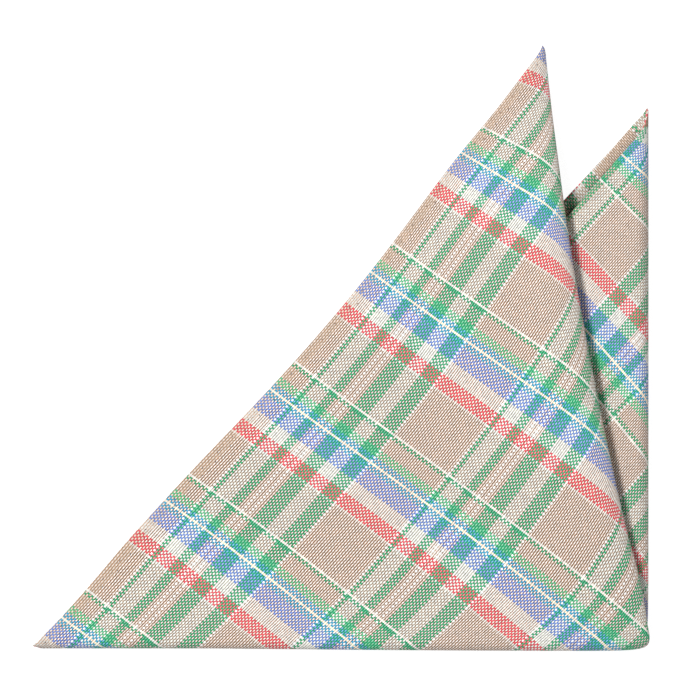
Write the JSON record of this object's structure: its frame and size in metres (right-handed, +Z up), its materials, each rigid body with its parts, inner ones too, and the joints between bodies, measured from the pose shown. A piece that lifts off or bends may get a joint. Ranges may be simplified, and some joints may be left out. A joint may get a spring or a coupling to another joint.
{
  "type": "pocket square",
  "caption": "Square of woven plaid cloth, folded on both diagonals into a soft four-layer triangle with open tips, lying flat.",
  "frame": {"origin": "centre of the folded square's box, on the surface that it lies on", "axes": "+Z up off the surface, +X towards the corner where all the folds meet, +Y along the front fold towards the front tip"},
  "size_m": [0.2345, 0.2303, 0.0229],
  "materials": {
    "woven_plaid": "plain woven plaid of coloured threads, matt, with a soft rolled hem"
  },
  "bodies": {
    "root": {"pocket_square": "woven_plaid"}
  },
  "joints": []
}
